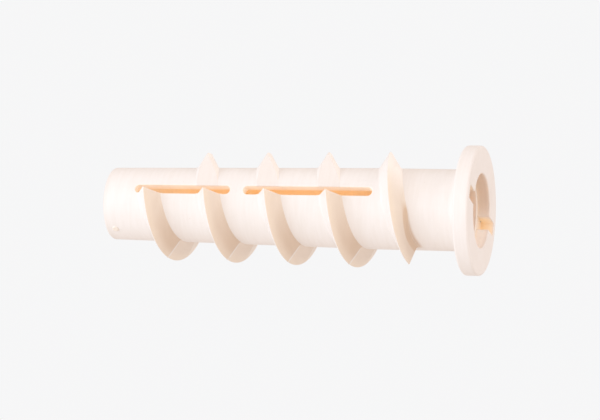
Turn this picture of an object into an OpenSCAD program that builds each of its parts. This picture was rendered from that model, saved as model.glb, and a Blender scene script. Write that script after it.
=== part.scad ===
// Screw-in wall anchor for aerated concrete: a hollow nylon sleeve with one
// coarse right-handed thread, two lines of expansion slots, and a collar with
// a keyed driving recess. Millimetres. The axis of the anchor is X: the collar
// points to +X (the room), the nose to -X (into the wall). The origin is on the
// axis, in the plane of the collar's underside, which bears on the wall.
//
// Angles round the axis are counted from +Z (top) through -Y (front).

/* [Overall] */
// Length from nose to collar face
total_l = 60; // [58:0.5:64]
// Outer diameter of the plain neck under the collar
neck_d = 12.6; // [12.2:0.1:13]
// Outer diameter of the nose
nose_d = 11.4; // [11:0.1:11.8]

/* [Collar] */
// Diameter of the collar
collar_d = 20; // [19:0.5:23]
// Thickness of the collar
collar_t = 2.4; // [2.2:0.1:3.2]
// Rounding of the collar's rim
rim_r = 0.35; // [0.2:0.05:0.5]
// Radius of the fillet between neck and collar
root_r = 1.5; // [0.8:0.1:2]

/* [Driving recess] */
// Diameter of the round recess in the collar
recess_d = 11.4; // [11:0.1:12]
// Depth of the recess and of its keyways
recess_depth = 2.0; // [1.6:0.1:2.0]
// Width of the two opposite keyways
key_w = 2.1; // [1.6:0.1:2.6]
// Distance across the two keyways
key_span = 17.6; // [16:0.1:18]
// Chamfer round the recess
recess_chamfer = 0.3; // [0.2:0.05:0.4]

/* [Bore] */
// Bore diameter in the neck
bore_d = 10; // [9.6:0.1:10.2]
// Bore diameter in the nose
nose_bore_d = 8.4; // [8:0.1:8.8]

/* [Slots] */
// Clock angle of the slot line
slot_angle = 63.3; // [60:0.1:66]
// Width of the slots
slot_w = 1.4; // [1:0.1:1.8]
// Tip slot, end towards the nose
tip_slot_a = -52.3; // [-52.5:0.1:-51.5]
// Tip slot, end towards the collar
tip_slot_b = -36.6; // [-37:0.1:-36.2]
// Middle slot, end towards the nose
mid_slot_a = -34.4; // [-34.8:0.1:-34]
// Middle slot, end towards the collar
mid_slot_b = -13.6; // [-14:0.1:-13]

/* [Thread] */
// Pitch of the thread
pitch = 9.9; // [9.6:0.1:10.2]
// Crest diameter near the nose
crest_d_nose = 17.6; // [17:0.1:18]
// Crest diameter near the collar
crest_d_neck = 18.5; // [18:0.1:19]
// Width of a flight at its foot
flight_w = 3.5; // [3:0.1:3.8]
// Width of the land on the crest
crest_w = 0.16; // [0.1:0.02:0.3]

/* [Hidden] */
$fn = 96;

nylon = [0.97, 0.93, 0.87];
nylon_deep = [0.95, 0.90, 0.82];

nose_x = collar_t - total_l;         // end of the nose
gap = 0.05;                          // parting between a sprung wall and a solid section
end_r = slot_w / 2;                  // half-round slot ends
tip_a = tip_slot_a + end_r;          // tip walls run from tip_a to tip_b
tip_b = tip_slot_b - end_r;
mid_a = mid_slot_a + end_r;          // middle walls run from mid_a to mid_b
mid_b = mid_slot_b - end_r;
helix_x0 = -51.8;                    // x of the crest at clock angle 0 of the first turn
sink = 0.35;                         // depth that a flight's foot is set into the wall
relief_angle = 54.6;                 // clock angle where a trailing end runs out
key_angle = slot_angle + 4.7;        // clock angle of the keyways
lip_lo = slot_angle + 6.7;           // clock angle of a slot's lower lip
lip_hi = slot_angle - 6.7;           // clock angle of its upper lip

// Outer radius of the sleeve at x: straight taper from nose to neck, then plain
function body_r(x) = x > mid_b ? neck_d / 2
    : nose_d / 2 + (neck_d - nose_d) / 2 * (x - nose_x) / (mid_b - nose_x);
// Bore radius at x: plain in the neck and the nose, tapered between them
function bore_r(x) = x > mid_b ? bore_d / 2 : x < tip_a ? nose_bore_d / 2
    : nose_bore_d / 2 + (bore_d - nose_bore_d) / 2 * (x - tip_a) / (mid_b - tip_a);
// Crest radius at x
function crest_r(x) = crest_d_nose / 2
    + (crest_d_neck - crest_d_nose) / 2 * (x + 50) / 40;
// Smooth step from 0 at a to 1 at b
function step01(a, b, q) = let (u = max(0, min(1, (q - a) / (b - a)))) u * u * (3 - 2 * u);
// Drop of the crest over the top of each turn, at turn angle t
function dip(t, x) = let (a = (t + 180) % 360 - 180)
    (0.6 - 0.2 * (x + 42) / 30) * step01(-38, -4, a) * (1 - step01(12, 62, a));
// Share of a flight's right foot that is left at turn angle t: the thread's end thins out
function foot_share(t) = 1 - 0.48 * step01(1523, 1573, t);
// Point on radius r at station x and clock angle a
function at(x, r, a) = [x, -r * sin(a), r * cos(a)];

// Turns the drawing axis Z onto X, keeping clock angles: -Y front, +Z top
module along_x() { rotate([0, 90, 0]) children(); }

// Half-space on the far side of a plane at distance d, facing clock angle a
module beyond(d, a) {
    rotate([a, 0, 0]) translate([-70, -30, d]) cube([80, 60, 30]);
}

// Plate that cuts a slot through both sides of the sleeve, with half-round ends
module slot_blade(x0, x1) {
    rotate([slot_angle, 0, 0]) {
        translate([x0 + end_r, -slot_w / 2, -9]) cube([x1 - x0 - slot_w, slot_w, 18]);
        for (x = [x0 + end_r, x1 - end_r])
            translate([x, 0, -9]) cylinder(d = slot_w, h = 18, $fn = 32);
    }
}

// Tapered tube between two stations
module tube(x0, x1) {
    difference() {
        translate([x0, 0, 0]) along_x()
            cylinder(r1 = body_r(x0), r2 = body_r(x1), h = x1 - x0);
        translate([x0, 0, 0]) along_x()
            translate([0, 0, -0.001]) cylinder(r1 = bore_r(x0), r2 = bore_r(x1), h = x1 - x0 + 0.002);
    }
}

// One half of a tapered tube, on the side that faces clock angle a,
// with its edges half a slot width back from the middle plane
module wall_half(x0, x1, a) {
    intersection() {
        tube(x0, x1);
        beyond(slot_w / 2, a);
    }
}

// One stretch of the thread between turn angles t0 and t1
module flight(t0, t1) {
    n = ceil((t1 - t0) / 6);
    st = [for (i = [0:n]) let (t = t0 + (t1 - t0) * i / n, x = helix_x0 + pitch * t / 360,
            rb = body_r(x) - sink, rc = crest_r(x) - dip(t, x),
            w = flight_w / 2 * (1 + sink / (rc - body_r(x))))
        [at(x - w, rb, t), at(x - crest_w / 2, rc, t), at(x + crest_w / 2, rc, t),
         at(x + w * foot_share(t), rb, t)]];
    pts = [for (s = st) for (p = s) p];
    sides = [for (i = [0:n - 1]) for (j = [0:3])
        let (k = (j + 1) % 4, a = 4 * i + j, b = 4 * i + k, c = 4 * (i + 1) + k, d = 4 * (i + 1) + j)
        for (f = [[a, b, c], [a, c, d]]) f];
    caps = [[3, 2, 1], [3, 1, 0], [4 * n, 4 * n + 1, 4 * n + 2], [4 * n, 4 * n + 2, 4 * n + 3]];
    polyhedron(points = pts, faces = concat(sides, caps));
}

// A stretch of the thread kept between two stations
module flight_between(t0, t1, x0, x1) {
    intersection() {
        flight(t0, t1);
        translate([x0, -15, -15]) cube([x1 - x0, 30, 30]);
    }
}

// Cut that runs a trailing end down to the slot's upper lip
module trailing_relief(x) { beyond(body_r(x) + 0.05, relief_angle); }

// Flange; its middle is open at the level of the recess floor, where the neck ends
module collar() {
    ledge = collar_t - recess_depth;
    inner = neck_d / 2 + root_r;
    color(nylon) difference() {
        rotate([0, 90, 0]) rotate_extrude() polygon(concat(
            [[inner, 0], [collar_d / 2 - rim_r, 0]],
            [for (i = [1:5]) [collar_d / 2 - rim_r + rim_r * sin(18 * i), rim_r - rim_r * cos(18 * i)]],
            [for (i = [0:5]) [collar_d / 2 - rim_r + rim_r * cos(18 * i), collar_t - rim_r + rim_r * sin(18 * i)]],
            [[recess_d / 2 + recess_chamfer, collar_t], [recess_d / 2, collar_t - recess_chamfer],
             [recess_d / 2, ledge], [inner, ledge]]));
        rotate([key_angle, 0, 0])
            translate([ledge, -key_w / 2, -key_span / 2])
                cube([recess_depth + 1, key_w, key_span]);
    }
}

// Plain tube under the collar, flared into it by a fillet, up to the recess floor
module neck_sleeve() {
    ledge = collar_t - recess_depth;
    r = neck_d / 2;
    x0 = mid_b + gap;
    color(nylon) difference() {
        rotate([0, 90, 0]) rotate_extrude() polygon(concat(
            [[bore_d / 2, x0], [r, x0], [r, -root_r]],
            [for (i = [1:7]) [r + root_r - root_r * cos(90 * i / 8), -root_r + root_r * sin(90 * i / 8)]],
            [[r + root_r, 0], [r + root_r, ledge], [bore_d / 2, ledge]]));
        slot_blade(mid_slot_a, mid_slot_b);
    }
}

module bridge_ring() {
    color(nylon) difference() {
        tube(tip_b + gap, mid_a - gap);
        slot_blade(tip_slot_a, tip_slot_b);
        slot_blade(mid_slot_a, mid_slot_b);
    }
}

// Plain pilot with a rounded edge; its last stretch is a true cylinder
module nose_sleeve() {
    r = nose_d / 2;
    e = 0.5;
    color(nylon) difference() {
        union() {
            rotate([0, 90, 0]) rotate_extrude() polygon(concat(
                [[0, nose_x], [r - e, nose_x]],
                [for (i = [1:7]) [r - e + e * sin(90 * i / 8), nose_x + e - e * cos(90 * i / 8)]],
                [[r, nose_x + e], [r, tip_a - gap], [0, tip_a - gap]]));
        }
        translate([nose_x - 1, 0, 0]) along_x() cylinder(d = nose_bore_d, h = total_l);
        translate([nose_x - 0.01, 0, 0]) along_x()
            cylinder(r1 = nose_bore_d / 2 + 0.3, r2 = nose_bore_d / 2, h = 0.3);
        slot_blade(tip_slot_a, tip_slot_b);
    }
}

module gate_pip() {
    color(nylon_deep) rotate([132, 0, 0]) translate([-55.9, 0, nose_d / 2 - 0.25])
        cylinder(d1 = 1.0, d2 = 0.8, h = 0.45, $fn = 32);
}

module bridge_flight() {
    color(nylon_deep) flight_between(466, 720, tip_b + gap, mid_a - gap);
}
module neck_flight() {
    color(nylon_deep) flight_between(1298, 1440 + slot_angle + 90, mid_b + gap, 0);
}

module tip_wall_lower() { color(nylon) wall_half(tip_a, tip_b, slot_angle + 90); }
module tip_wall_upper() { color(nylon) wall_half(tip_a, tip_b, slot_angle - 90); }
module mid_wall_lower() { color(nylon) wall_half(mid_a, mid_b, slot_angle + 90); }
module mid_wall_upper() { color(nylon) wall_half(mid_a, mid_b, slot_angle - 90); }

module tip_flight_lower_a() { color(nylon_deep) flight_between(lip_lo, 180 + lip_hi, tip_a, 0); }
module tip_flight_lower_b() { color(nylon_deep) flight_between(360 + lip_lo, 540 + lip_hi, -60, tip_b); }
module tip_flight_upper() {
    color(nylon_deep) difference() {
        flight(180 + lip_lo, 360 + lip_hi);
        trailing_relief(-41.5);
    }
}
module mid_flight_lower_a() { color(nylon_deep) flight(720 + lip_lo, 900 + lip_hi); }
module mid_flight_lower_b() { color(nylon_deep) flight_between(1080 + lip_lo, 1260 + lip_hi, -60, mid_b); }
module mid_flight_upper_a() {
    color(nylon_deep) difference() {
        flight_between(540 + lip_lo, 720 + lip_hi, mid_a, 0);
        trailing_relief(-31.6);
    }
}
module mid_flight_upper_b() {
    color(nylon_deep) difference() {
        flight(900 + lip_lo, 1080 + lip_hi);
        trailing_relief(-21.7);
    }
}
module mid_flight_upper_c() { color(nylon_deep) flight_between(1260 + lip_lo, 1440, -60, mid_b); }

collar();
neck_sleeve();
bridge_ring();
nose_sleeve();
bridge_flight();
neck_flight();
gate_pip();
tip_wall_lower();
tip_flight_lower_a();
tip_flight_lower_b();
tip_wall_upper();
tip_flight_upper();
mid_wall_lower();
mid_flight_lower_a();
mid_flight_lower_b();
mid_wall_upper();
mid_flight_upper_a();
mid_flight_upper_b();
mid_flight_upper_c();
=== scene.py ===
"""Looks of the screw-in wall anchor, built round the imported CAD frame.

Lengths are in millimetres while the meshes are made and become metres in Form.build().
The anchor's axis is X. Clock angles are in degrees, from +Z (top) through -Y (front).
The real part is one moulding, so neighbouring pieces meet on shared edges with shared normals.
"""

import bpy
import numpy as np
from mathutils import Matrix, Vector


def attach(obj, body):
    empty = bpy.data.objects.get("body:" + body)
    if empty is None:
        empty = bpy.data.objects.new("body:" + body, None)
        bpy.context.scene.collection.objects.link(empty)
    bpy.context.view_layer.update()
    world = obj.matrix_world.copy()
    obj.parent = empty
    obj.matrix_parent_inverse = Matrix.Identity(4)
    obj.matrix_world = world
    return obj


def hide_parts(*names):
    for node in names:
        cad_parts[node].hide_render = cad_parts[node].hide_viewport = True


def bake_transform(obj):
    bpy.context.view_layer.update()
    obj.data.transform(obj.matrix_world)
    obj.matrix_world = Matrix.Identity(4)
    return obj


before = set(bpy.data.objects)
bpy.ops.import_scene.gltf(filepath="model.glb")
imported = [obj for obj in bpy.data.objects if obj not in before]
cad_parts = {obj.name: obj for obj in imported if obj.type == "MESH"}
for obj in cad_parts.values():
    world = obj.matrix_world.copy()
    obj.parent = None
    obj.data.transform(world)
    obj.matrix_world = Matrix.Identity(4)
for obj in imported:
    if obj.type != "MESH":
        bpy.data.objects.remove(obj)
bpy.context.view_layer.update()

# ---------------------------------------------------------------- sizes, as in the CAD source
SLOT = 63.3                      # clock angle of the slot line
HALF = 0.7                       # half the slot's width, and the radius of its ends
NOSE_X, FACE_X, LEDGE_X = -57.6, 2.4, 0.4
NOSE_R = 0.5
# painted light: the orange tint of the bore, for light let in through the thin walls
BORE_PAINTED_GLOW = 0.70
TIP_A, TIP_B, MID_A, MID_B = -51.6, -37.3, -33.7, -14.3
PITCH, HELIX_X0 = 9.9, -51.8
FOOT, LAND = 1.75, 0.07          # half widths of a flight at its foot and on its crest
RELIEF, PARTING, THREAD_END = 54.6, 158.3, 1593.3
COLLAR_R, RIM, FLARE = 10.0, 0.35, 7.8
MOUTH_R, KEY_H, KEY_E, KEY_ANGLE = 5.7, 1.05, 8.8, 68.0
LIP = 0.13                       # rounding of the slot's outer lips
NEAR = 1.3                       # half size of the patch round a slot's end
K_NEAR, N_SIDE, N_FRONT, N_ARC = 4, 6, 14, 60


def body_r(x):
    return np.where(x > MID_B, 6.3, 5.7 + 0.6 * (x - NOSE_X) / (MID_B - NOSE_X))


def bore_r(x):
    return np.interp(x, [TIP_A, MID_B], [4.2, 5.0])


def crest_r(x):
    return 8.8 + 0.45 * (x + 50) / 40


def er(a):
    a = np.radians(np.asarray(a, float))
    return np.stack([np.zeros_like(a), -np.sin(a), np.cos(a)], -1)


def et(a):
    a = np.radians(np.asarray(a, float))
    return np.stack([np.zeros_like(a), -np.cos(a), -np.sin(a)], -1)


EX = np.array([1.0, 0, 0])
U, V = er(SLOT), et(SLOT)


def at(x, r, a):
    x, r, a = np.broadcast_arrays(*(np.asarray(q, float) for q in (x, r, a)))
    return x[..., None] * EX + r[..., None] * er(a)


def slot_at(side, x, v, u):
    """Point at station x, v off the slot's middle plane and u along it; side is 1 in front and -1 behind."""
    x, v, u = np.broadcast_arrays(*(np.asarray(q, float) for q in (x, v, u)))
    return x[..., None] * EX + side * (u[..., None] * U + v[..., None] * V)


def unit(n):
    return n / np.maximum(np.linalg.norm(n, axis=-1, keepdims=True), 1e-12)


def radial(P):
    n = P.copy()
    n[..., 0] = 0
    return unit(n)


# ---------------------------------------------------------------- mesh builder
class Form:
    def __init__(self):
        self.P, self.N, self.F, self.W = [], [], [], []

    def grid(self, P, N, painted_glow_tint=0.0, flat=False, shade=0.0, painted_emission=0.0):
        """Quads over a grid of points (a, b, 3). N gives the outward side, and the shading normals unless flat.
        warm is painted light: an orange tint put where light let through or bounced about in thin or enclosed nylon
        would show. shade is painted shade, a darker beige on faces that only get scattered light. passed is painted
        light too, an emission that stands in for the light that comes through the nylon from behind."""
        P = np.asarray(P, float)
        N = np.broadcast_to(np.asarray(N, float), P.shape)
        W = np.stack([np.broadcast_to(np.asarray(q, float), P.shape[:2]) for q in (painted_glow_tint, shade, painted_emission)], -1)

        def quads(A):
            return np.stack([A[:-1, :-1], A[1:, :-1], A[1:, 1:], A[:-1, 1:]], 2).reshape((-1, 4) + A.shape[2:])
        self.P.append(quads(P))
        self.N.append(quads(N))
        self.W.append(quads(W))
        self.F.append(np.full(len(self.P[-1]), flat))

    def fan(self, centre, ring, N, painted_glow_tint=0.0):
        ring = np.asarray(ring, float)
        c = np.broadcast_to(np.asarray(centre, float), ring.shape)
        self.grid(np.stack([c, ring]), N, painted_glow_tint, flat=True)

    def build(self, name):
        P, N = np.concatenate(self.P), np.concatenate(self.N)
        F, W = np.concatenate(self.F), np.concatenate(self.W)
        face = np.cross(P[:, 2] - P[:, 0], P[:, 3] - P[:, 1])
        flip = (face * N.mean(1)).sum(-1) < 0
        for A in (P, N, W):
            A[flip] = A[flip][:, ::-1]
        face[flip] *= -1
        N = np.where(F[:, None, None], unit(face)[:, None, :], N)
        key = np.round(P.reshape(-1, 3) / 1e-4).astype(np.int64)
        _, first, back = np.unique(key, axis=0, return_index=True, return_inverse=True)
        back = back.reshape(-1)
        co = P.reshape(-1, 3)[first]
        W = W.reshape(-1, 3)
        told = ~np.isnan(W[:, 0])                 # hidden sections say nothing about the tint
        count = np.maximum(np.bincount(back[told], None, len(co)), 1)
        painted_glow_tint, shade, painted_emission = (np.bincount(back[told], W[told, k], len(co)) / count for k in (0, 1, 2))
        Q = back.reshape(-1, 4)
        keep = Q != np.roll(Q, 1, axis=1)
        n = keep.sum(1)
        good = n >= 3
        two = (Q[:, 0] == Q[:, 2]) | (Q[:, 1] == Q[:, 3])
        good &= ~two
        # where clipped rows fall on each other, a face and its twin: same way round keeps one, back to back neither
        _, same, twins = np.unique(np.sort(Q, 1), axis=0, return_inverse=True, return_counts=True)
        same = same.reshape(-1)
        way = face / np.maximum(np.linalg.norm(face, axis=-1, keepdims=True), 1e-12)
        for g in np.flatnonzero(twins > 1):
            m = np.flatnonzero((same == g) & good)
            if len(m) > 1:
                good[m[1:]] = False
                good[m[0]] = np.linalg.norm(way[m].sum(0)) > 0.5
        Q, keep, n, N = Q[good], keep[good], n[good], N[good]
        loops, normals = Q[keep], N[keep]
        me = bpy.data.meshes.new(name)
        me.vertices.add(len(co))
        me.vertices.foreach_set("co", (co * 0.001).astype(np.float32).ravel())
        me.loops.add(len(loops))
        me.loops.foreach_set("vertex_index", loops.astype(np.int32))
        me.polygons.add(len(n))
        me.polygons.foreach_set("loop_start", np.concatenate([[0], np.cumsum(n)[:-1]]).astype(np.int32))
        me.update(calc_edges=True)
        me.polygons.foreach_set("use_smooth", np.ones(len(n), bool))
        # the painted light and painted shade values go onto each vertex as attributes
        for key_, kind, field, data in (("rest", "FLOAT_VECTOR", "vector", co), ("painted_glow_tint", "FLOAT", "value", painted_glow_tint),
                                        ("shade", "FLOAT", "value", shade), ("painted_emission", "FLOAT", "value", painted_emission)):
            me.attributes.new(key_, kind, "POINT").data.foreach_set(field, data.astype(np.float32).ravel())
        me.normals_split_custom_set(unit(normals).astype(np.float32))
        me.update()
        obj = bpy.data.objects.new(name, me)
        bpy.context.scene.collection.objects.link(obj)
        return obj


def step01(a, b, q):
    u = np.clip((np.asarray(q, float) - a) / (b - a), 0, 1)
    return u * u * (3 - 2 * u)


# ---------------------------------------------------------------- sleeve
def near_theta(r, inner):
    """Angles from a slot's lip to the edge of the patch."""
    r = np.asarray(r, float)[..., None]
    lip = HALF if inner else HALF + LIP
    v = lip + (NEAR - lip) * np.arange(K_NEAR + 1) / K_NEAR
    return np.degrees(np.arcsin(v / r))


def arc_theta(r):
    r = np.asarray(r, float)[..., None]
    e = np.degrees(np.arcsin(NEAR / r))
    return e + (180 - 2 * e) * np.arange(N_ARC + 1) / N_ARC


def ring_theta(r):
    """All the lines round a closed stretch of sleeve."""
    r = np.asarray(r, float)
    a = np.degrees(np.arcsin(np.linspace(-NEAR, NEAR, N_FRONT + 1) / r[..., None]))
    arc = arc_theta(r)[..., 1:-1]
    return SLOT + np.concatenate([a, arc, 180 + a, 180 + arc, 360 + a[..., :1]], -1)


def half_theta(r, inner):
    """The lines across one half wall, lip to lip, counted from the slot line."""
    n = near_theta(r, inner)
    return np.concatenate([n, arc_theta(r)[..., 1:-1], 180 - n[..., ::-1]], -1)


BETA = np.radians([0, 22.5, 45, 67.5, 90])


def lip_rows(side, x, v, mx, mv):
    """Rounded lip and slot face along an edge at (x, v), where (mx, mv) points into the material."""
    P, N, W = [], [], []
    R = None
    for b in BETA:
        o = LIP * (1 - np.sin(b))
        xx, vv = x + mx * o, v + mv * o
        p = slot_at(side, xx, vv, np.sqrt(body_r(xx) ** 2 - vv ** 2) - LIP * (1 - np.cos(b)))
        into = slot_at(side, -mx, -mv, 0 * mx)
        P.append(p)
        N.append(unit(np.cos(b) * radial(p) + np.sin(b) * into))
        # painted light: an orange tint that deepens round the lip and down the slot face
        W.append(np.full(x.shape, 0.10 + 0.25 * b / (np.pi / 2)))
    top = np.sqrt(body_r(x) ** 2 - v ** 2) - LIP
    low = np.sqrt(bore_r(x) ** 2 - v ** 2)
    for k in (1, 2, 3, 4):
        P.append(slot_at(side, x, v, top + (low - top) * k / 4))
        N.append(into)
        W.append(np.full(x.shape, 0.16 + 0.16 * k / 4))
    return np.stack(P), np.stack(N), np.stack(W)


def half_cap(form, x, half, face):
    """Section of one half wall at station x. half is 0 for the lower wall and 180 for the upper."""
    base = SLOT + half
    out = at(x, body_r(x), base + half_theta(body_r(x), False))
    inn = at(x, bore_r(x), base + half_theta(bore_r(x), True))
    form.grid(np.stack([out, inn]), face, np.nan, flat=True)
    s = 1 if half == 0 else -1
    for side, v, p, q in ((s, HALF, out[0], inn[0]), (-s, -HALF, out[-1], inn[-1])):
        P, _, _ = lip_rows(side, np.array([float(x)]), np.array([v]), np.zeros(1), np.array([np.sign(v)]))
        form.fan(p, P[:, 0], face, np.nan)


def half_wall(x0, x1, half, n):
    """Half of the slotted sleeve between two stations: outer skin, bore, both lips and both end sections."""
    form = Form()
    x = np.linspace(x0, x1, n + 1)
    base = SLOT + half
    out = at(x[:, None], body_r(x)[:, None], base + half_theta(body_r(x), False))
    inn = at(x[:, None], bore_r(x)[:, None], base + half_theta(bore_r(x), True))
    form.grid(out, radial(out), 0.0)
    # painted light: the bore gets the orange tint
    form.grid(inn, -radial(inn), BORE_PAINTED_GLOW)
    s = 1 if half == 0 else -1
    for side, v in ((s, HALF), (-s, -HALF)):
        P, N, W = lip_rows(side, x, np.full(x.shape, v), np.zeros(x.shape), np.full(x.shape, np.sign(v)))
        # the lips and slot faces also get a painted glow
        form.grid(P, N, W, painted_emission=0.075)
    half_cap(form, x0, half, -EX)
    half_cap(form, x1, half, EX)
    return form


def notch(form, xc, dirx):
    """The solid sleeve round both half-round slot ends at xc, out to a square patch, and the section beside them."""
    n = 2 * N_SIDE + N_FRONT
    i = np.arange(n + 1)
    phi = np.radians(-90 + 180 * i / n)
    f = np.clip((i - N_SIDE) / N_FRONT, 0, 1)
    sq_x = NEAR * np.minimum(1, np.minimum(i, n - i) / N_SIDE)
    sq_v = -NEAR + 2 * NEAR * f
    k = (np.arange(K_NEAR + 1) / K_NEAR)[:, None]
    for side in (1, -1):
        # painted light: the bore side gets the orange tint
        for rho, rad_f, sgn, painted_glow_tint in ((HALF + LIP, body_r, 1, 0.0), (HALF, bore_r, -1, BORE_PAINTED_GLOW)):
            x = xc + dirx * ((1 - k) * rho * np.cos(phi) + k * sq_x)
            v = (1 - k) * rho * np.sin(phi) + k * sq_v
            P = slot_at(side, x, v, np.sqrt(rad_f(x) ** 2 - v ** 2))
            form.grid(P, sgn * radial(P), painted_glow_tint)
        P, N, W = lip_rows(side, xc + dirx * HALF * np.cos(phi), HALF * np.sin(phi), dirx * np.cos(phi), np.sin(phi))
        # painted glow on the lips round the slot ends
        form.grid(P, N, W, painted_emission=0.075)
    x = xc + dirx * NEAR * np.arange(N_SIDE + 1) / N_SIDE
    for half in (0, 180):
        for rad_f, sgn, painted_glow_tint in ((body_r, 1, 0.0), (bore_r, -1, BORE_PAINTED_GLOW)):
            P = at(x[:, None], rad_f(x)[:, None], SLOT + half + arc_theta(rad_f(x)))
            form.grid(P, sgn * radial(P), painted_glow_tint)
        half_cap(form, xc, half, -dirx * EX)


def revolve(form, pts, painted_glow_tint, side=1, shade=None):
    """One smooth run of profile points (x, r) turned round the axis; side 1 puts the outside to its left."""
    pts = np.asarray(pts, float)
    t = np.gradient(pts, axis=0)
    n = unit(np.stack([-t[:, 1], t[:, 0]], -1)) * side
    th = ring_theta(pts[:, 1])
    P = at(pts[:, :1], pts[:, 1:], th)
    N = n[:, None, :1] * EX + n[:, None, 1:] * er(th)
    w = np.broadcast_to(np.asarray(painted_glow_tint, float).reshape(-1, 1), P.shape[:2])
    form.grid(P, N, w, shade=0.0 if shade is None else shade(pts[:, :1], th))


def neck_shadow(x, a):
    """Painted shade: a dark wedge on the neck beside the steep last stretch of the thread."""
    a = a % 360
    foot = HELIX_X0 + PITCH * (1440 + a) / 360 + FOOT * foot_share(1440 + a)
    d = x - foot
    wide = 0.20 + 0.30 * step01(95, 140, a)
    return 1.6 * step01(72, 112, a) * (1 - step01(148, 160, a)) * (1 - step01(0.35 * wide, 2.4 * wide, d)) * (d > -1.5)


def bend(cx, cr, rad, a0, a1, n):
    a = np.radians(np.linspace(a0, a1, n + 1))
    return np.stack([cx + rad * np.cos(a), cr + rad * np.sin(a)], -1)


def line(p, q, n):
    return np.linspace(p, q, n + 1)


def nose_sleeve():
    form = Form()
    notch(form, TIP_A, -1)
    x = np.linspace(TIP_A - NEAR, NOSE_X + NOSE_R, 9)
    revolve(form, np.stack([x, body_r(x)], -1), 0.0, -1)
    r = float(body_r(NOSE_X + NOSE_R))
    # painted shade on the rounded corner of the nose; painted light, an orange tint, on the nose's end face and in its
    # bore
    revolve(form, bend(NOSE_X + NOSE_R, r - NOSE_R, NOSE_R, 90, 180, 10), 0.0, -1, lambda x, a: 0.16 + 0 * (x + a))
    revolve(form, line((NOSE_X, r - NOSE_R), (NOSE_X, 4.2 + 0.32), 2), 0.05, -1)
    revolve(form, bend(NOSE_X + 0.32, 4.2 + 0.32, 0.32, 180, 270, 5), 0.15, -1)
    x = np.linspace(NOSE_X + 0.32, TIP_A - NEAR, 10)
    revolve(form, np.stack([x, bore_r(x)], -1), 0.55 + 0.35 * np.linspace(0, 1, len(x)), -1)
    return form.build("nose_sleeve_form")


def bridge_ring():
    form = Form()
    notch(form, TIP_B, 1)
    notch(form, MID_A, -1)
    x = np.linspace(TIP_B + NEAR, MID_A - NEAR, 5)
    revolve(form, np.stack([x, body_r(x)], -1), 0.0)
    # painted light: a strong orange tint in the bore
    revolve(form, np.stack([x, bore_r(x)], -1), 0.9, -1)
    return form.build("bridge_ring_form")


def neck_sleeve():
    form = Form()
    notch(form, MID_B, 1)
    x = np.linspace(MID_B + NEAR, -1.5, 60)
    # painted shade beside the thread's last stretch
    revolve(form, np.stack([x, body_r(x)], -1), 0.0, shade=neck_shadow)
    arc = bend(-1.5, FLARE, 1.5, 270, 360, 14)
    revolve(form, arc, 0.0, 1)
    # painted light, an orange tint, on the ledge and in the bore; painted shade over the whole bore
    revolve(form, line((0, FLARE), (LEDGE_X, FLARE), 1), 0.3)
    revolve(form, line((LEDGE_X, FLARE), (LEDGE_X, 5.1), 6), np.linspace(0.45, 0.1, 7), 1)
    revolve(form, bend(LEDGE_X - 0.1, 5.1, 0.1, 0, -90, 3), 0.2, 1)
    x = np.linspace(LEDGE_X - 0.1, MID_B + NEAR, 24)
    revolve(form, np.stack([x, bore_r(x)], -1), 0.12 + 0.4 * np.linspace(0, 1, 24) ** 0.5, 1, lambda x, a: 0.25 + 0 * x)
    return form.build("neck_sleeve_form")


# ---------------------------------------------------------------- collar
def outline(R, h, E, rc):
    """Mouth of the driving recess with its two keyways, as points (a, b) along and across the keyways."""
    a_c, a_f = np.sqrt(R * R - h * h), np.sqrt(FLARE ** 2 - h * h)
    corner = np.radians(np.linspace(0, 90, 5))
    quarter = [np.stack([np.full(4, E), np.linspace(0, h - rc, 5)[:-1]], -1),
               np.stack([E - rc + rc * np.cos(corner), h - rc + rc * np.sin(corner)], -1),
               np.stack([np.linspace(E - rc, a_f, 4)[1:], np.full(3, h)], -1),
               np.stack([np.linspace(a_f, a_c, 9)[1:], np.full(8, h)], -1)]
    al = np.linspace(np.arctan2(h, a_c), np.pi / 2, 33)[1:]
    quarter.append(R * np.stack([np.cos(al), np.sin(al)], -1))
    q = np.concatenate(quarter)
    m = q[:-1][::-1] * [-1, 1]
    half = np.concatenate([q, m])
    return np.concatenate([half[:-1], -half[:-1], half[:1]])


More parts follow.
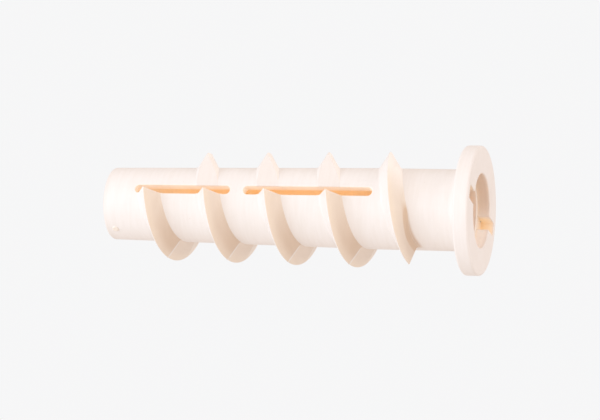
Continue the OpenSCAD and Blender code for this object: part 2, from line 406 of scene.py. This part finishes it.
def collar():
    form = Form()

    def place(x, ab):
        x = np.broadcast_to(np.asarray(x, float), ab.shape[:-1])
        return x[..., None] * EX + ab[..., :1] * er(KEY_ANGLE) + ab[..., 1:] * et(KEY_ANGLE)

    low = outline(MOUTH_R, KEY_H, KEY_E, 0.28)
    al = np.arctan2(low[:, 1], low[:, 0])
    ring = np.stack([np.cos(al), np.sin(al)], -1)
    step = np.roll(low[:-1], -1, 0) - np.roll(low[:-1], 1, 0)
    inward = unit(np.stack([-step[:, 1], step[:, 0]], -1))
    inward = np.concatenate([inward, inward[:1]])
    n_in = inward[:, :1] * er(KEY_ANGLE) + inward[:, 1:] * et(KEY_ANGLE)
    key = np.clip((np.hypot(low[:, 0], low[:, 1]) - MOUTH_R) / 1.2, 0, 1)

    def turn(pts, painted_glow_tint, flip=1):
        pts = np.asarray(pts, float)
        t = np.gradient(pts, axis=0)
        n = unit(np.stack([-t[:, 1], t[:, 0]], -1)) * flip
        P = place(pts[:, :1], pts[:, 1:, None] * ring)
        form.grid(P, n[:, None, :1] * EX + n[:, None, 1:] * radial(P), painted_glow_tint)

    turn(line((0, FLARE), (0, COLLAR_R - RIM), 4), 0.0)
    turn(bend(RIM, COLLAR_R - RIM, RIM, 180, 90, 6), 0.0)
    turn(line((RIM, COLLAR_R), (FACE_X - RIM, COLLAR_R), 4), 0.0)
    turn(bend(FACE_X - RIM, COLLAR_R - RIM, RIM, 90, 0, 6), 0.0)
    c = 0.26
    top = outline(MOUTH_R + c, KEY_H + 0.12, KEY_E + 0.12, 0.3)
    rim = (COLLAR_R - RIM) * ring
    k = (np.arange(7) / 6)[:, None, None]
    form.grid(place(FACE_X, (1 - k) * rim + k * top), EX, 0.0)
    rows, norm = [], []
    for b in np.radians([0, 20, 45, 70, 90]):
        ab = low + (top - low) * (1 - np.sin(b))
        drop = (1 - np.cos(b)) * np.linalg.norm(top - low, axis=-1)
        rows.append(place(FACE_X - drop, ab))
        norm.append(unit(np.cos(b) * EX + np.sin(b) * n_in))
    # painted shade and a little painted light, an orange tint, growing down the chamfer into the mouth
    form.grid(np.stack(rows), np.stack(norm), np.linspace(0.0, 0.06, 5)[:, None], shade=np.linspace(0, 0.25, 5)[:, None])
    edge = rows[-1]
    k = (np.arange(6) / 5)[:, None, None]
    floor_ = place(LEDGE_X, low)
    clock = (np.degrees(al) + KEY_ANGLE) % 360
    # painted shade on the upper side of the recess wall, painted light as an orange tint in the keyways, and a painted
    # glow low in the mouth and in the keyways
    painted_shade = 0.02 + 0.60 * step01(-0.55, 0.25, np.cos(np.radians(clock)))
    painted_glow_tint = 0.05 + 0.12 * k[..., 0] + 0.75 * key[None, :] * (0.6 + 0.4 * k[..., 0])
    low_side = 1 - step01(-0.65, 0.05, np.cos(np.radians(clock)))
    form.grid((1 - k) * edge + k * floor_, n_in, painted_glow_tint, shade=painted_shade[None, :] * (1 - key[None, :]),
              painted_emission=(0.12 * low_side + 0.035 * key)[None, :] + 0 * k[..., 0])
    outer = place(LEDGE_X, FLARE * ring)
    up = np.where(np.hypot(low[:, 0], low[:, 1])[:, None] > FLARE + 1e-6, 1.0, -1.0) * EX
    # painted light: an orange tint on the recess floor and the short wall below it
    form.grid(np.stack([floor_, outer]), np.stack([up, up]), 0.8, flat=True)
    form.grid(np.stack([outer, place(0.0, FLARE * ring)]), -radial(outer)[None], 0.3)
    return form.build("collar_form")


# ---------------------------------------------------------------- thread
def foot_share(t):
    """Share of the right foot that is left: the end of the thread thins out."""
    return 1 - 0.48 * step01(1523, 1573, t)


def dip(t, x):
    """Drop of the crest over the top of each turn."""
    a = (t + 180) % 360 - 180
    return (0.6 - 0.2 * (x + 42) / 30) * step01(-38, -4, a) * (1 - step01(12, 62, a))


def profile(h, top, foot=FOOT):
    """Half section of a flight of height h, cut off at height top: (s, height, ns, nh) from the toe to the middle."""
    slope = np.arctan2(h, foot - LAND)
    rho = min(0.42, 0.55 * top / max(np.sin(slope) * np.tan(slope / 2), 1e-6))
    toe = foot + rho * np.tan(slope / 2)
    out = [(toe + 0.16, -0.03, 0.0, 1.0)]
    for a in np.linspace(0, slope, 6):
        out.append((toe - rho * np.sin(a), rho * (1 - np.cos(a)), np.sin(a), np.cos(a)))
    s1, h1 = out[-1][0], out[-1][1]
    s_top = LAND + (1 - top / h) * (foot - LAND)
    e = min(0.09, 0.3 * (top - h1))
    tan = e * np.tan(slope / 2)
    s2, h2 = s_top + tan * np.cos(slope), top - tan * np.sin(slope)
    for k in np.arange(1, 9) / 8:
        out.append((s1 + (s2 - s1) * k, h1 + (h2 - h1) * k, np.sin(slope), np.cos(slope)))
    s3 = s_top - tan
    for a in slope * np.array([0.66, 0.33, 0]):
        out.append((s3 + e * np.sin(a), top - e * (1 - np.cos(a)), np.sin(a), np.cos(a)))
    s3 = max(s3, 0.0)
    for k in (0.5, 0.0):
        out.append((s3 * k, top, 0.0, 1.0))
    return np.array(out)


def relief_d(x):
    return float(body_r(x)) + 0.05


def section(t, relief):
    """Whole section of the thread at turn angle t: rows (s, height, ns, nh), left toe to right toe."""
    x = HELIX_X0 + PITCH * t / 360
    rb = float(body_r(x))
    h = float(crest_r(x)) - rb - float(dip(t, x))
    top, cut = h, False
    turn_ = (t - RELIEF + 180) % 360 - 180
    if relief is not None and abs(turn_) < 60:
        cap = relief / np.cos(np.radians(turn_)) - rb
        if cap < h:
            top, cut = max(cap, 0.02), True
    left = profile(h, top) * [-1, 1, -1, 1]
    right = profile(h, top, FOOT * float(foot_share(t)))[:-1][::-1]
    rows = np.concatenate([left, right])
    return rows, cut, x, rb


def flight(name, t0, t1, relief=None, cut0=None, cut1=None, warm_shift=0.0):
    """A stretch of thread. cut0 and cut1 are stations where a flat section across the axis ends it."""
    stations = set(np.arange(np.ceil(t0 / 2) * 2, t1, 2.0)) | {t0, t1}
    for base in (PARTING, PARTING - 180):
        for k in range(0, 6):
            m = base + 360 * k
            stations |= {m + d for d in (-1.8, -1.1, -0.7, -0.35, 0, 0.35, 0.7, 1.1, 1.8) if t0 < m + d < t1}
    if relief is not None:
        face = t1 - ((t1 - RELIEF) % 360)
        start = next(q for q in np.arange(face - 58, t1, 0.1) if section(q, relief)[1])
        stations |= {start - 0.6, start, start + 0.6}
    T = np.array(sorted(stations))
    S = [section(t, relief)[0] for t in T]
    n_rows = len(S[0])
    lo = np.full(n_rows, t0)
    hi = np.full(n_rows, t1)

    def turn_at(j, cut):
        """Turn angle at which row j crosses the plane at station cut."""
        q = (cut - HELIX_X0) * 360 / PITCH
        for _ in range(14):
            q = (cut - section(q, relief)[0][j, 0] - HELIX_X0) * 360 / PITCH
        return q

    if cut0 is not None:
        lo = np.maximum(lo, [turn_at(j, cut0) for j in range(n_rows)])
    if cut1 is not None:
        hi = np.minimum(hi, [turn_at(j, cut1) for j in range(n_rows)])
    hi = np.maximum(hi, lo) if cut0 is None else hi
    lo = np.minimum(lo, hi)
    TT = np.clip(T[None, :], lo[:, None], hi[:, None])
    P = np.zeros(TT.shape + (3,))
    N = np.zeros(TT.shape + (3,))
    B = np.zeros(TT.shape + (3,))
    W, S_, G = np.zeros(TT.shape), np.zeros(TT.shape), np.zeros(TT.shape)
    cache = {}
    for j in range(n_rows):
        for i in range(len(T)):
            t = float(TT[j, i])
            if t not in cache:
                cache[t] = section(t, relief)
            rows, cut, xc, rb = cache[t]
            s, hgt, ns, nh = rows[j]
            d = min(abs((t - PARTING) % 180), 180 - abs((t - PARTING) % 180))
            bump = 0.06 * np.exp(-(d / 0.95) ** 2) * step01(0.02, 0.4, hgt)
            s, hgt = s + ns * bump, hgt + nh * bump
            r = rb + hgt
            P[j, i] = at(xc + s, r, t)
            n = r * (ns * EX + nh * er(t)) - PITCH / (2 * np.pi) * ns * et(t)
            if cut and abs(ns) < 0.2 and hgt > 0.0:
                n = er(RELIEF)
            N[j, i] = n
            B[j, i] = at(xc + s, rb - 0.25, t)
            # painted shade on the right flanks, growing from the front round to the underside, weaker past the parting
            # line and toward the crest; painted light on the same flanks: an orange tint and a glow toward the crest
            # and over the top of each turn
            clock, high = t % 360, np.clip(hgt / 2.95, 0, 1)
            shade_by_clock = 0.10 + 0.90 * step01(35, 150, clock) if clock < 200 else 0.10
            if clock > PARTING:
                shade_by_clock *= 0.42
            on = step01(0.02, 0.22, ns)
            tip = step01(0.45, 1.0, high)
            S_[j, i] = on * shade_by_clock * (0.90 - 0.47 * tip)
            # painted shade: on the last, steep stretch the flank's shade is eased and a dark toe is painted along its
            # foot
            if t > 1440:
                S_[j, i] *= 0.60
                S_[j, i] += 2.2 * step01(0.02, 0.3, ns) * (1 - step01(0.15, 0.95, hgt)) * step01(72, 112, clock) * (1 - step01(148, 160, clock))
            up = 1 - step01(28, 75, min(clock, 360 - clock))
            W[j, i] = (0.16 + 0.12 * (1 - step01(80, 140, clock)) + 0.14 * tip) * on * (1 - 0.75 * up)
            G[j, i] = on * (0.035 * tip + 0.13 * up)
            # painted shade on the flat faces cut by the relief
            if cut and abs(ns) < 0.2 and hgt > 0:
                S_[j, i] = 0.18
            # the painted shade and orange tint fade out on the parting-line ridge, which leaves it a light line
            if bump > 0.008:
                fade = 1 - 0.9 * min(1.0, bump / 0.045)
                S_[j, i] *= fade
                W[j, i] *= fade
    form = Form()
    form.grid(P, unit(N), W, shade=S_, painted_emission=G)
    form.grid(B, -radial(B), 0.3)
    form.grid(np.stack([P[0], B[0]]), -EX, np.nan, flat=True)
    form.grid(np.stack([P[-1], B[-1]]), EX, np.nan, flat=True)
    end0 = -EX if cut0 is not None else -et(t0)
    end1 = EX if cut1 is not None else et(t1)
    # painted light: a slight orange tint on the open ends of the flight
    form.grid(np.stack([P[:, 0], B[:, 0]]), end0, np.nan if cut0 is not None else 0.12, flat=True)
    form.grid(np.stack([P[:, -1], B[:, -1]]), end1, np.nan if cut1 is not None else 0.12, flat=True)
    return form.build(name)


def gate_pip():
    """Torn-off injection gate: a low, slightly tilted and ragged button on the nose."""
    form = Form()
    a = np.linspace(0, 2 * np.pi, 49)
    rag = 1 + 0.035 * np.sin(3 * a + 0.6) + 0.025 * np.sin(7 * a)
    rows = [(0.62, -0.06), (0.56, -0.015), (0.50, 0.03), (0.465, 0.09), (0.45, 0.135), (0.42, 0.165), (0.36, 0.18),
            (0.24, 0.172), (0.12, 0.165), (0.0, 0.162)]
    up, side = er(132.0), et(132.0)
    P, painted_glow_tint = [], []
    for k, (r, z) in enumerate(rows):
        tilt = 0.03 * np.cos(a - 0.8) * (r / 0.45) * (k > 2)
        ab = np.stack([r * rag * np.cos(a), r * rag * np.sin(a)], -1)
        base = float(body_r(-55.9))
        v = ab[:, 1]
        u = np.sqrt(base ** 2 - v ** 2) + z + tilt
        P.append((-55.9 + ab[:, :1]) * EX + u[:, None] * up + v[:, None] * side)
        painted_glow_tint.append(np.full(49, 0.15 + 0.1 * (k > 3)))
    P = np.array(P)
    du = np.gradient(P, axis=0)
    dv = np.gradient(P, axis=1)
    N = np.cross(du, dv)
    N[-1] = up
    N = unit(N) * np.sign((unit(N) * up).sum(-1, keepdims=True) + 0.3)
    form.grid(P, N, np.array(painted_glow_tint))
    base = P[0] - 0.2 * up
    form.grid(np.stack([P[0], base]), unit(P[0] - P[0].mean(0)), 0.2, flat=True)
    form.fan(base.mean(0), base, -up, 0.2)
    return form.build("gate_pip_form")


# ---------------------------------------------------------------- material
def nylon(name, tint):
    m = bpy.data.materials.new(name)
    m.use_nodes = True
    nt = m.node_tree
    nt.nodes.clear()
    N, L = nt.nodes.new, nt.links.new

    def node(kind, **inputs):
        n = N(kind)
        for k, v in inputs.items():
            n.inputs[k.replace("_", " ")].default_value = v
        return n

    rest = N("ShaderNodeAttribute"); rest.attribute_name = "rest"
    painted_glow_tint = N("ShaderNodeAttribute"); painted_glow_tint.attribute_name = "painted_glow_tint"
    shade_ = N("ShaderNodeAttribute"); shade_.attribute_name = "shade"
    out = N("ShaderNodeOutputMaterial")
    bsdf = N("ShaderNodeBsdfPrincipled")
    L(bsdf.outputs[0], out.inputs[0])

    cloud = node("ShaderNodeTexNoise", Scale=0.22, Detail=3.0, Roughness=0.55)
    L(rest.outputs["Vector"], cloud.inputs["Vector"])
    grain = node("ShaderNodeTexNoise", Scale=7.5, Detail=4.0, Roughness=0.6)
    L(rest.outputs["Vector"], grain.inputs["Vector"])
    fleck = node("ShaderNodeTexVoronoi", Scale=0.62, Randomness=1.0)
    L(rest.outputs["Vector"], fleck.inputs["Vector"])
    # flow lines run round the axis where the melt front met
    stretch = N("ShaderNodeMapping")
    stretch.inputs["Scale"].default_value = (1.7, 0.22, 0.22)
    L(rest.outputs["Vector"], stretch.inputs["Vector"])
    flow = node("ShaderNodeTexNoise", Scale=1.0, Detail=5.0, Roughness=0.55)
    L(stretch.outputs[0], flow.inputs["Vector"])

    def math_(op, a, b=None, c=None, clamp=False):
        n = N("ShaderNodeMath"); n.operation = op; n.use_clamp = clamp
        for i, q in enumerate((a, b, c)):
            if q is None:
                continue
            if isinstance(q, (int, float)):
                n.inputs[i].default_value = q
            else:
                L(q, n.inputs[i])
        return n.outputs[0]

    drift = math_("SUBTRACT", cloud.outputs["Fac"], 0.5)
    # painted light and painted shade: the orange tint and the shade attributes, each with a little random drift
    painted_glow_fac = math_("MULTIPLY_ADD", drift, 0.08, painted_glow_tint.outputs["Fac"], clamp=True)
    painted_shade = math_("MULTIPLY_ADD", drift, 0.10, shade_.outputs["Fac"], clamp=True)

    def tinted(fac, a, b):
        n = N("ShaderNodeMixRGB"); n.blend_type = "MULTIPLY"
        L(fac, n.inputs[0])
        if isinstance(a, tuple):
            n.inputs[1].default_value = a
        else:
            L(a, n.inputs[1])
        n.inputs[2].default_value = b
        return n.outputs[0]

    # painted shade darkens the colour toward beige, then painted light tints it toward orange
    tone = tinted(painted_shade, tint, (0.80, 0.675, 0.565, 1))
    tone = tinted(painted_glow_fac, tone, (1.0, 0.825, 0.54, 1))
    mix = N("ShaderNodeMixRGB"); mix.blend_type = "MULTIPLY"
    L(tone, mix.inputs[1])
    shade = N("ShaderNodeValToRGB")
    shade.color_ramp.elements[0].position, shade.color_ramp.elements[0].color = 0.25, (0.955, 0.945, 0.93, 1)
    shade.color_ramp.elements[1].position, shade.color_ramp.elements[1].color = 0.75, (1, 1, 1, 1)
    L(flow.outputs["Fac"], shade.inputs["Fac"])
    L(shade.outputs["Color"], mix.inputs[2])
    mix.inputs[0].default_value = 1.0
    # a few fine dark flecks of dust in the resin
    speck = math_("LESS_THAN", fleck.outputs["Distance"], 0.035)
    rare = math_("GREATER_THAN", math_("FRACT", math_("MULTIPLY", fleck.outputs["Color"], 7.31)), 0.72)
    dust = N("ShaderNodeMixRGB"); dust.blend_type = "MULTIPLY"
    L(math_("MULTIPLY", math_("MULTIPLY", speck, rare), 0.30), dust.inputs[0])
    L(mix.outputs[0], dust.inputs[1])
    dust.inputs[2].default_value = (0.55, 0.42, 0.30, 1)
    L(dust.outputs[0], bsdf.inputs["Base Color"])
    # painted light: a per-vertex emission stands in for the light that translucent nylon lets through from behind
    painted_emission = N("ShaderNodeAttribute"); painted_emission.attribute_name = "painted_emission"
    L(dust.outputs[0], bsdf.inputs["Emission Color"])
    L(painted_emission.outputs["Fac"], bsdf.inputs["Emission Strength"])

    L(math_("MULTIPLY_ADD", grain.outputs["Fac"], 0.16, math_("MULTIPLY_ADD", cloud.outputs["Fac"], 0.10, 0.30)),
      bsdf.inputs["Roughness"])
    bsdf.inputs["IOR"].default_value = 1.53
    bsdf.inputs["Specular IOR Level"].default_value = 0.42

    height = math_("MULTIPLY_ADD", flow.outputs["Fac"], 0.6, math_("MULTIPLY", grain.outputs["Fac"], 0.35))
    bump = node("ShaderNodeBump", Strength=0.22, Distance=0.00006)
    L(height, bump.inputs["Height"])
    L(bump.outputs[0], bsdf.inputs["Normal"])
    return m


BODY = nylon("natural_nylon_body", (0.945, 0.90, 0.865, 1))
THREAD = nylon("natural_nylon_thread", (0.95, 0.905, 0.87, 1))


def finish_piece(obj, nodes, body=None, wall=None, thread=False):
    """Gives a piece its material and hides the CAD nodes that it stands for. A piece with a body moves with that body;
    a wall piece only has its placement baked into its mesh.
    """
    obj.data.materials.append(THREAD if thread else BODY)
    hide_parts(*nodes)
    if wall is None:
        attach(obj, body)
        return
    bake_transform(obj)


# ---------------------------------------------------------------- pieces
finish_piece(collar(), ["collar"], "sleeve")
finish_piece(neck_sleeve(), ["neck_sleeve"], "sleeve")
finish_piece(bridge_ring(), ["bridge_ring"], "sleeve")
finish_piece(nose_sleeve(), ["nose_sleeve"], "sleeve")
finish_piece(gate_pip(), ["gate_pip"], "sleeve")

for zone, a, b in (("tip", TIP_A, TIP_B), ("mid", MID_A, MID_B)):
    m = (a + b) / 2
    for half, word in ((0, "lower"), (180, "upper")):
        node, wall = f"{zone}_wall_{word}", f"{zone}_{word}"
        n = int(round((b - a) / 2 / 0.5))
        finish_piece(half_wall(a, m, half, n).build(f"{node}_nose_end"), [node], wall=wall)
        finish_piece(half_wall(m, b, half, n).build(f"{node}_neck_end"), [node], wall=wall)

LO, HI = SLOT + 6.7, SLOT - 6.7
FLIGHTS = [
    ("tip_flight_lower_a", dict(t0=LO, t1=180 + HI), "tip_lower", "nose"),
    ("tip_flight_upper", dict(t0=180 + LO, t1=360 + HI, relief=relief_d(-41.5)), "tip_upper", "neck"),
    ("tip_flight_lower_b", dict(t0=360 + LO, t1=600, cut1=TIP_B), "tip_lower", "neck"),
    ("bridge_flight", dict(t0=440, t1=740, cut0=TIP_B, cut1=MID_A), None, None),
    ("mid_flight_upper_a", dict(t0=580, t1=720 + HI, cut0=MID_A, relief=relief_d(-31.6)), "mid_upper", "nose"),
    ("mid_flight_lower_a", dict(t0=720 + LO, t1=900 + HI), "mid_lower", "nose"),
    ("mid_flight_upper_b", dict(t0=900 + LO, t1=1080 + HI, relief=relief_d(-21.7)), "mid_upper", "neck"),
    ("mid_flight_lower_b", dict(t0=1080 + LO, t1=1260 + HI), "mid_lower", "neck"),
    ("mid_flight_upper_c", dict(t0=1260 + LO, t1=1440, cut1=MID_B), "mid_upper", "neck"),
    ("neck_flight", dict(t0=1260 + LO, t1=THREAD_END, cut0=MID_B), None, None),
]
for node, kw, wall, end in FLIGHTS:
    piece = flight(f"{node}_form", **kw)
    finish_piece(piece, [node], body="sleeve" if wall is None else None, wall=wall, thread=True)

# ---------------------------------------------------------------- stage: plain pale floor and surround, soft light
def emitter(name, colour, strength):
    m = bpy.data.materials.new(name)
    m.use_nodes = True
    m.node_tree.nodes.clear()
    e = m.node_tree.nodes.new("ShaderNodeEmission")
    e.inputs[0].default_value, e.inputs[1].default_value = (*colour, 1), strength
    o = m.node_tree.nodes.new("ShaderNodeOutputMaterial")
    m.node_tree.links.new(e.outputs[0], o.inputs[0])
    return m


PALE = emitter("pale_stage", (0.925, 0.925, 0.930), 1.0)


def stage_mesh(name, verts, faces):
    me = bpy.data.meshes.new(name)
    me.from_pydata(verts, [], faces)
    o = bpy.data.objects.new(name, me)
    bpy.context.scene.collection.objects.link(o)
    o.data.materials.append(PALE)
    for flag in ("visible_diffuse", "visible_glossy", "visible_transmission", "visible_volume_scatter", "visible_shadow"):
        setattr(o, flag, False)
    return o


a = np.linspace(0, 2 * np.pi, 97)[:-1]
stage_mesh("floor", [(1.9 * float(np.cos(q)), 1.9 * float(np.sin(q)), -0.0102) for q in a], [list(range(96))])
verts, faces = [], []
for i in range(33):
    p = np.pi * i / 32
    verts += [(2 * float(np.sin(p) * np.cos(q)), 2 * float(np.sin(p) * np.sin(q)), 2 * float(np.cos(p))) for q in a]
for i in range(32):
    for j in range(96):
        faces.append((i * 96 + j, i * 96 + (j + 1) % 96, (i + 1) * 96 + (j + 1) % 96, (i + 1) * 96 + j))
stage_mesh("surround", verts, faces)

world = bpy.data.worlds.new("studio")
world.use_nodes = True
bg = world.node_tree.nodes["Background"]
bg.inputs[0].default_value = (0.90, 0.80, 0.745, 1)
bg.inputs[1].default_value = 0.93
bpy.context.scene.world = world


def softbox(name, place, size, energy, colour=(1, 1, 1)):
    d = bpy.data.lights.new(name, "AREA")
    d.shape, d.size, d.size_y = "RECTANGLE", size[0], size[1]
    d.energy, d.color = energy, colour
    o = bpy.data.objects.new(name, d)
    o.location = place
    target = Vector((-0.027, 0, 0))
    o.rotation_euler = (target - Vector(place)).to_track_quat("-Z", "Y").to_euler()
    bpy.context.scene.collection.objects.link(o)
    return o


softbox("key", (-0.50, -0.42, 0.06), (0.55, 0.55), 2.05, (0.66, 0.83, 1.0))
softbox("front", (0.06, -0.60, 0.05), (0.45, 0.45), 0.45, (0.80, 0.90, 1.0))
softbox("side", (0.50, -0.14, 0.24), (0.35, 0.35), 0.58, (0.90, 0.93, 1.0))
# the light that thin nylon walls pass into the bore, which an opaque shader would lose
for i, x in enumerate((-47.5, -40.5, -33.5, -26.5, -20.5, -14.5)):
    d = bpy.data.lights.new(f"bore_glow_{i}", "POINT")
    d.energy, d.color, d.shadow_soft_size = 0.000108, (1.0, 0.93, 0.72), 0.0025
    o = bpy.data.objects.new(d.name, d)
    o.location = (x * 0.001, 0, 0)
    o.visible_camera = False
    bpy.context.scene.collection.objects.link(o)

# ---------------------------------------------------------------- camera, at the photo's angle
cam = bpy.data.cameras.new("camera")
cam.sensor_width, cam.lens = 36.0, 2713.7 / 600 * 36
cam.clip_start, cam.clip_end = 0.01, 10
eye = bpy.data.objects.new("camera", cam)
bpy.context.scene.collection.objects.link(eye)
az, el, roll, dist = np.radians(16.79), np.radians(2.0), 0.0099, 0.4245
xt, zt = -0.02675, -0.000443
place = np.array([xt + dist * np.cos(el) * np.sin(az), -dist * np.cos(el) * np.cos(az), dist * np.sin(el) + zt])
look = np.array([xt, 0, zt]) - place
look /= np.linalg.norm(look)
right = np.cross(look, [0, 0, 1]); right /= np.linalg.norm(right)
up = np.cross(right, look)
right, up = np.cos(roll) * right + np.sin(roll) * up, -np.sin(roll) * right + np.cos(roll) * up
eye.matrix_world = Matrix(((right[0], up[0], -look[0], place[0]), (right[1], up[1], -look[1], place[1]),
                           (right[2], up[2], -look[2], place[2]), (0, 0, 0, 1)))
bpy.context.scene.camera = eye

scene = bpy.context.scene
scene.cycles.max_bounces = 16
scene.cycles.diffuse_bounces = 10
scene.view_settings.view_transform = "Standard"
scene.view_settings.look = "None"
scene.view_settings.exposure, scene.view_settings.gamma = 0.0, 1.0
